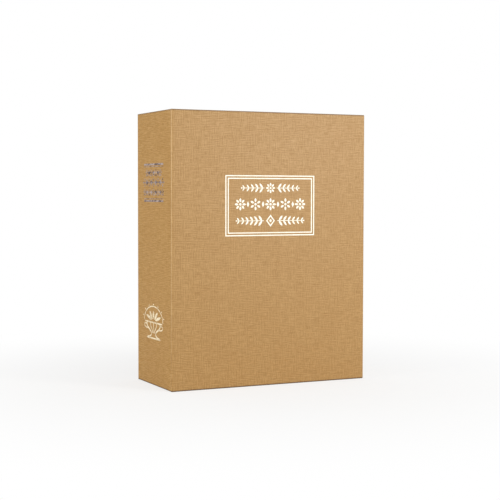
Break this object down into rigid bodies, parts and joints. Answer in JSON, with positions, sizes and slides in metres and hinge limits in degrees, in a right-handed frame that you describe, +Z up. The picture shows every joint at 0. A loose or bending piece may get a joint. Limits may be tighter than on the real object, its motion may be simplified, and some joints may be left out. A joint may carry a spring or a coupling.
{
  "type": "book diversion safe",
  "caption": "Book-shaped safe with a hinged hardback cover and spine, ribbed page block, inner steel box, rolled-hinge steel door and cam lock.",
  "frame": {"origin": "bottom centre of the closed book's box, standing on its tail edge", "axes": "+Z up from tail to head, -X the spine, +X the fore-edge, -Y the front cover, +Y the back cover"},
  "size_m": [0.1886, 0.082, 0.24],
  "materials": {
    "cover_paper": "matte",
    "greyboard": "matte",
    "endpaper": "matte",
    "page_moulding": "satin",
    "black_steel": "satin",
    "felt": "matte",
    "chrome_plate": "polished",
    "zinc_plate": "satin",
    "wafer_brass": "satin"
  },
  "bodies": {
    "block": {"back_board": "greyboard", "back_wrap": "cover_paper", "back_endpaper": "endpaper", "page_block": "page_moulding", "box_shell": "black_steel", "floor_pad": "felt", "hinge_pin": "zinc_plate", "box_screw_1": "zinc_plate", "box_screw_2": "zinc_plate", "box_screw_3": "zinc_plate", "box_screw_4": "zinc_plate"},
    "spine": {"spine_board": "greyboard", "spine_wrap": "cover_paper", "spine_liner": "endpaper", "back_crease": "cover_paper"},
    "cover": {"front_board": "greyboard", "front_wrap": "cover_paper", "front_endpaper": "endpaper", "front_crease": "cover_paper"},
    "door": {"door": "black_steel", "lock_housing": "chrome_plate", "lock_washer": "zinc_plate", "lock_nut": "zinc_plate"},
    "lock_cylinder": {"lock_plug": "chrome_plate", "lock_cam": "zinc_plate", "cam_screw": "zinc_plate", "lock_wafer_1": "wafer_brass", "lock_wafer_2": "wafer_brass", "lock_wafer_3": "wafer_brass", "lock_wafer_4": "wafer_brass", "lock_wafer_5": "wafer_brass"}
  },
  "joints": [
    {"name": "spine_hinge", "type": "hinge", "parent": "block", "child": "spine", "pos_m": [-0.09365, 0.0404, 0.12], "axis": [0, 0, -1], "range_deg": [0, 90], "deforming": ["back_crease"]},
    {"name": "cover_hinge", "type": "hinge", "parent": "spine", "child": "cover", "pos_m": [-0.09365, -0.0404, 0.12], "axis": [0, 0, -1], "range_deg": [0, 180], "deforming": ["front_crease"]},
    {"name": "door_hinge", "type": "hinge", "parent": "block", "child": "door", "pos_m": [-0.0773, -0.0308, 0.12], "axis": [0, 0, -1], "range_deg": [0, 95]},
    {"name": "lock_turn", "type": "hinge", "parent": "door", "child": "lock_cylinder", "pos_m": [0.05675, -0.0334, 0.12], "axis": [0, 1, 0], "range_deg": [0, 90]}
  ],
  "couplings": [
    {"joint": "door_hinge", "follows": "cover_hinge", "ratio": 0.5277}
  ]
}
